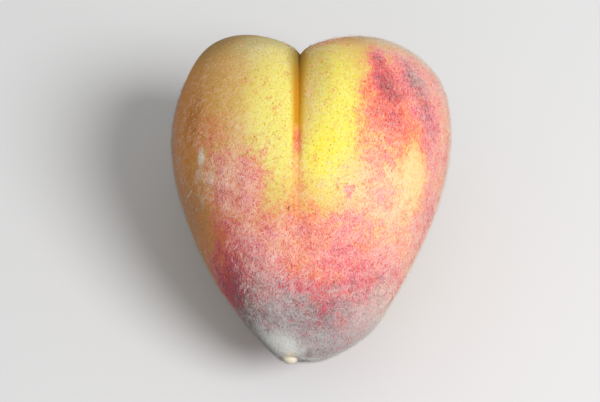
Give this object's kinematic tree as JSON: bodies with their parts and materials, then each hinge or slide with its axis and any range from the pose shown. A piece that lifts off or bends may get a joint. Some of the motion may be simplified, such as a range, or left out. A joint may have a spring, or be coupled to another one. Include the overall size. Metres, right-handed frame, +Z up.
{
  "type": "peach",
  "caption": "Whole ripe peach with a heart-shaped outline, a seam, a stem cavity and a pointed tip, lying on its back.",
  "frame": {"origin": "middle of the small flat spot on the fruit's back that it rests on", "axes": "+Y runs along the fruit towards its stem end, +X points to its larger cheek, and +Z points up through the seam"},
  "size_m": [0.0705, 0.0812, 0.0638],
  "materials": {
    "peach_skin": "dull velvety skin under short pale fuzz, yellow ground with red and plum blush, greyed towards the tip"
  },
  "bodies": {
    "root": {"peach": "peach_skin"}
  },
  "joints": []
}
